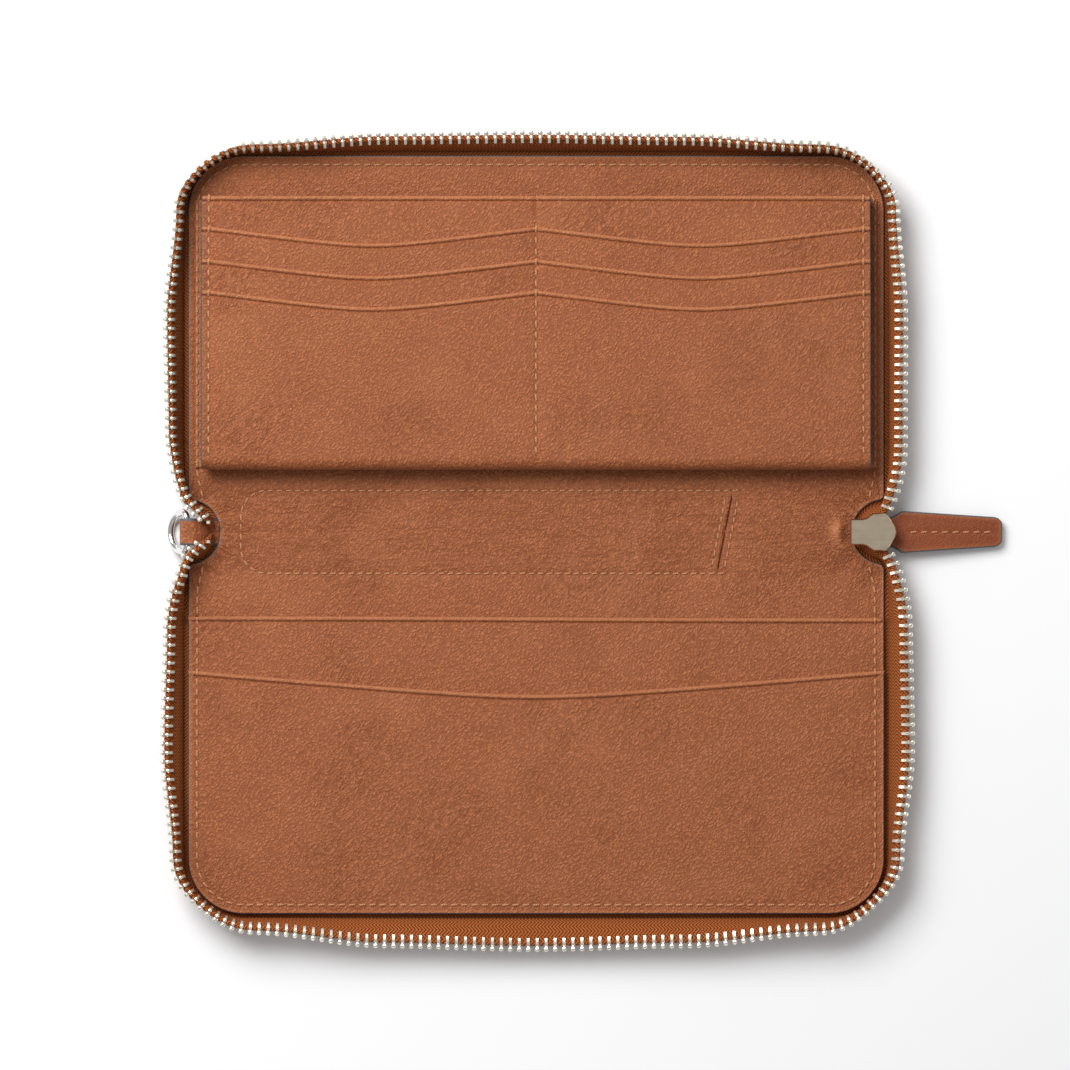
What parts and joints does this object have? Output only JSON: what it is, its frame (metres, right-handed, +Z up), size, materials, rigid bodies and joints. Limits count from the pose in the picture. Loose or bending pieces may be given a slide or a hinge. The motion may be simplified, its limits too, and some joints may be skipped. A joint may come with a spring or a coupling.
{
  "type": "zip around wallet",
  "caption": "Long leather wallet that zips round three sides, lying open flat: card leaf, bill and slip pockets, pen pocket in the spine, slider with leather pull, strap ring.",
  "frame": {"origin": "middle of the spine, on the underside of the outer leather where the open wallet rests", "axes": "+X along the spine, from the strap ring to the zip slider; +Y towards the front cover, which carries the card leaf; +Z up from the table, out of the open inside"},
  "size_m": [0.2273, 0.2214, 0.012],
  "materials": {
    "outer_leather": "pebbled, semi-matt",
    "lining_leather": "pebbled, semi-matt, painted edges",
    "cover_board": "matt pressed board",
    "bag_cloth": "matt woven",
    "zip_tape": "woven herringbone",
    "zip_teeth": "polished, pale gold",
    "slider_metal": "brushed, pale gold",
    "ring_metal": "polished",
    "pull_leather": "smooth, painted edges",
    "tab_leather": "smooth, painted edges",
    "thread": "waxed thread"
  },
  "bodies": {
    "back_cover": {"back_outer_leather": "outer_leather", "back_board": "cover_board", "back_lining": "lining_leather", "back_rear_pocket": "lining_leather", "back_front_pocket": "lining_leather", "back_zip_tape": "zip_tape", "back_zip_teeth": "zip_teeth", "back_thread": "thread"},
    "spine": {"spine_outer_leather": "outer_leather", "spine_lining": "lining_leather", "pen_pocket_bag": "bag_cloth", "pen_pocket_thread": "thread", "ring_tab": "tab_leather", "left_end_tape": "zip_tape", "left_end_teeth": "zip_teeth", "top_stops": "zip_teeth", "right_end_tape": "zip_tape", "right_end_teeth": "zip_teeth", "tail_tape": "zip_tape", "bottom_stop": "zip_teeth"},
    "front_cover": {"front_outer_leather": "outer_leather", "front_board": "cover_board", "front_lining": "lining_leather", "front_bill_pocket": "lining_leather", "front_gussets": "lining_leather", "front_zip_tape": "zip_tape", "front_zip_teeth": "zip_teeth", "front_thread": "thread"},
    "card_leaf": {"leaf_wrap": "lining_leather", "leaf_panel": "lining_leather", "card_slot_rear": "lining_leather", "card_slot_middle": "lining_leather", "leaf_side_thread": "thread", "leaf_divider_thread": "thread"},
    "slider": {"slider_body": "slider_metal", "slider_bridge": "slider_metal"},
    "pull": {"pull_link": "slider_metal", "pull_upper_leather": "pull_leather", "pull_lower_leather": "pull_leather", "pull_thread": "thread"},
    "ring": {"strap_ring": "ring_metal"}
  },
  "joints": [
    {"name": "spine_fold", "type": "hinge", "parent": "back_cover", "child": "spine", "pos_m": [0, -0.01021, 0.00279], "axis": [1, 0, 0], "range_deg": [0, 90]},
    {"name": "front_fold", "type": "hinge", "parent": "spine", "child": "front_cover", "pos_m": [0, 0.01021, 0.00279], "axis": [1, 0, 0], "range_deg": [0, 90]},
    {"name": "leaf_lift", "type": "hinge", "parent": "front_cover", "child": "card_leaf", "pos_m": [0, 0.0175, 0.0044], "axis": [1, 0, 0], "range_deg": [0, 6]},
    {"name": "slider_travel", "type": "slide", "parent": "spine", "child": "slider", "axis": [1, 0, 0], "range_m": [0, 0.005]},
    {"name": "pull_swing", "type": "hinge", "parent": "slider", "child": "pull", "pos_m": [0.0918, 0, 0.00375], "axis": [0, 1, 0], "range_deg": [0, 110]},
    {"name": "ring_swing", "type": "hinge", "parent": "spine", "child": "ring", "pos_m": [-0.0943, 0, 0.0057], "axis": [0, 1, 0], "range_deg": [0, 60]}
  ],
  "couplings": [
    {"joint": "front_fold", "follows": "spine_fold", "ratio": 1}
  ]
}
